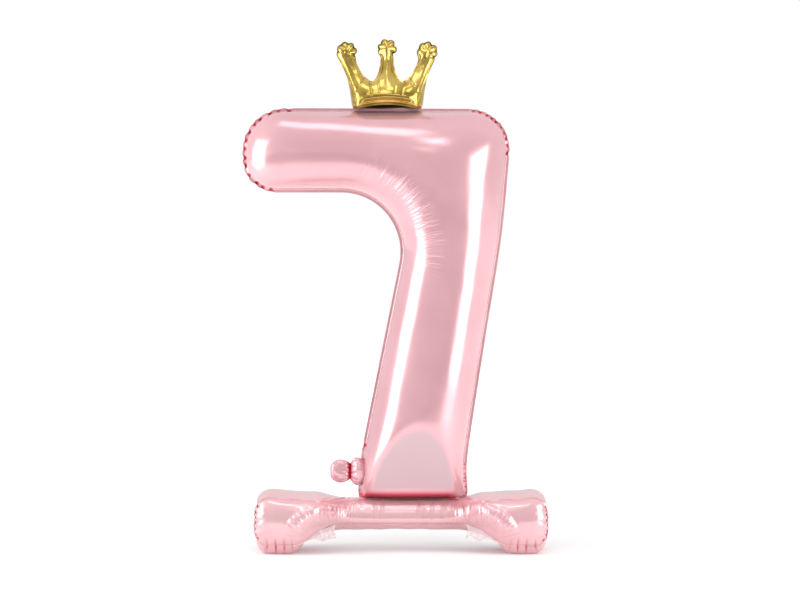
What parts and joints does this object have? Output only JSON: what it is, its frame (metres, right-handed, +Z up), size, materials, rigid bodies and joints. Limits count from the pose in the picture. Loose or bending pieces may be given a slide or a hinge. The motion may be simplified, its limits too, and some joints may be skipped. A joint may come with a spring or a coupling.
{
  "type": "standing foil number balloon",
  "caption": "Inflated foil digit seven with a gold foil crown on its top edge, standing by itself on a boxed foil base shaped as an arch with feet.",
  "frame": {"origin": "on the floor, under the middle of the bounding box", "axes": "+Z up, the front faces -Y, +X to the right of someone facing the front"},
  "size_m": [0.4985, 0.1642, 0.84],
  "materials": {
    "pink_foil": "metallised pearl pink foil, mirror-like with soft highlights",
    "gold_foil": "metallised gold foil, mirror-like",
    "clear_film": "clear thin film, glossy"
  },
  "bodies": {
    "number": {"number_front_panel": "pink_foil", "number_back_panel": "pink_foil", "number_valve_film_front": "clear_film", "number_valve_film_back": "clear_film", "neck_root_sleeve": "pink_foil"},
    "filling_tail": {"neck_front_foil": "pink_foil", "neck_back_foil": "pink_foil"},
    "crown": {"crown_front_panel": "gold_foil", "crown_back_panel": "gold_foil", "crown_side_and_foot_gusset": "gold_foil", "crown_fixing_tab": "clear_film", "crown_valve_sleeve": "clear_film"},
    "base": {"base_front_panel": "pink_foil", "base_back_panel": "pink_foil", "base_top_gusset": "pink_foil", "base_bottom_gusset": "pink_foil", "number_joining_strip": "pink_foil", "base_valve_sleeve_left": "clear_film", "base_valve_sleeve_right": "clear_film"},
    "left_valve_tail": {"base_valve_tail_left": "clear_film"},
    "right_valve_tail": {"base_valve_tail_right": "clear_film"}
  },
  "joints": [
    {"name": "number_lean", "type": "hinge", "parent": "base", "child": "number", "pos_m": [0.029, 0, 0.0898], "axis": [1, 0, 0], "range_deg": [-6, 6], "stiffness_Nm_per_rad": 0.964},
    {"name": "crown_nod", "type": "hinge", "parent": "number", "child": "crown", "pos_m": [-0.013, 0, 0.726], "axis": [1, 0, 0], "range_deg": [-15, 15], "stiffness_Nm_per_rad": 0.0193},
    {"name": "filling_tail_fold", "type": "hinge", "parent": "number", "child": "filling_tail", "pos_m": [-0.069, 0, 0.131], "axis": [0, 0, 1], "range_deg": [-60, 60], "stiffness_Nm_per_rad": 0.00643},
    {"name": "left_valve_tail_flap", "type": "hinge", "parent": "base", "child": "left_valve_tail", "pos_m": [-0.118, -0.041, 0.038], "axis": [-0.7882, -0.5361, -0.3021], "range_deg": [0, 60]},
    {"name": "right_valve_tail_flap", "type": "hinge", "parent": "base", "child": "right_valve_tail", "pos_m": [0.138, -0.041, 0.038], "axis": [-0.7882, 0.5361, 0.3021], "range_deg": [0, 60]}
  ]
}
